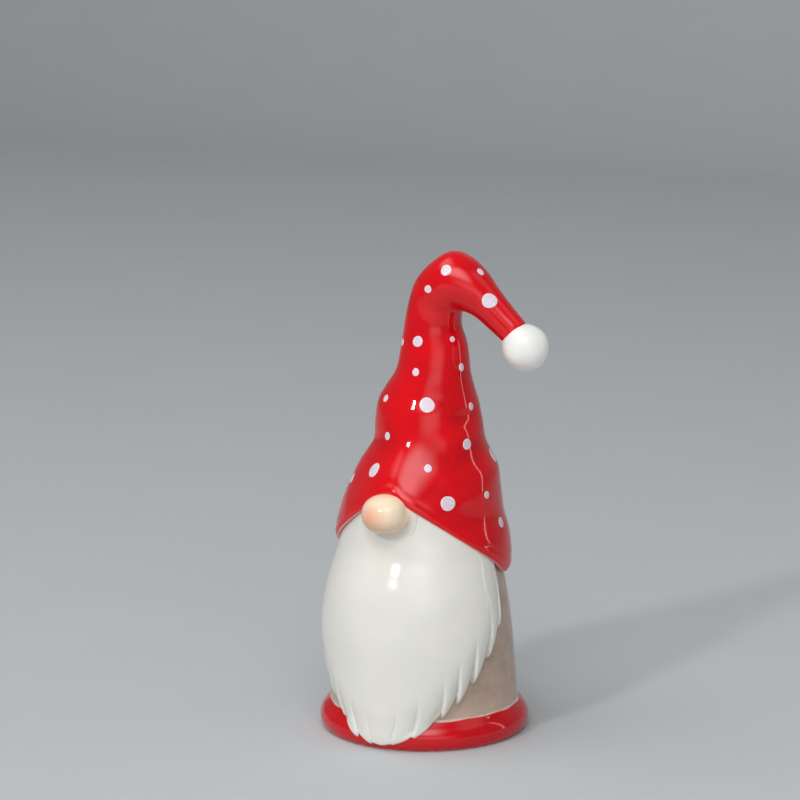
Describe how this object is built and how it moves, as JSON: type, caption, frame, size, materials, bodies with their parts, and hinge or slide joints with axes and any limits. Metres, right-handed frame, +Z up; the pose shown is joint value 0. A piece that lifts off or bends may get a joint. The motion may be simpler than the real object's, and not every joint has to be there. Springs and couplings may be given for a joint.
{
  "type": "gnome figurine",
  "caption": "Glazed ceramic table ornament: a bearded gnome with a round nose and a tall, dotted hat whose tip folds over and hangs to one side with a pompom.",
  "frame": {"origin": "middle of the bounding box's underside, on the table; the coat's upright axis is 4.2 mm towards -X of it and 0.9 mm towards +Y", "axes": "+Z up; -Y is the way the gnome faces; +X is the side that the hat's tip hangs to"},
  "size_m": [0.0732, 0.0666, 0.15],
  "materials": {
    "coat_glaze": "gloss",
    "red_glaze": "gloss",
    "white_glaze": "gloss",
    "nose_glaze": "gloss",
    "dot_enamel": "satin"
  },
  "bodies": {
    "root": {"coat_shell": "coat_glaze", "hem_roll": "red_glaze", "beard": "white_glaze", "nose": "nose_glaze", "hat_shell": "red_glaze", "hat_tip": "red_glaze", "pompom": "white_glaze"}
  },
  "joints": []
}
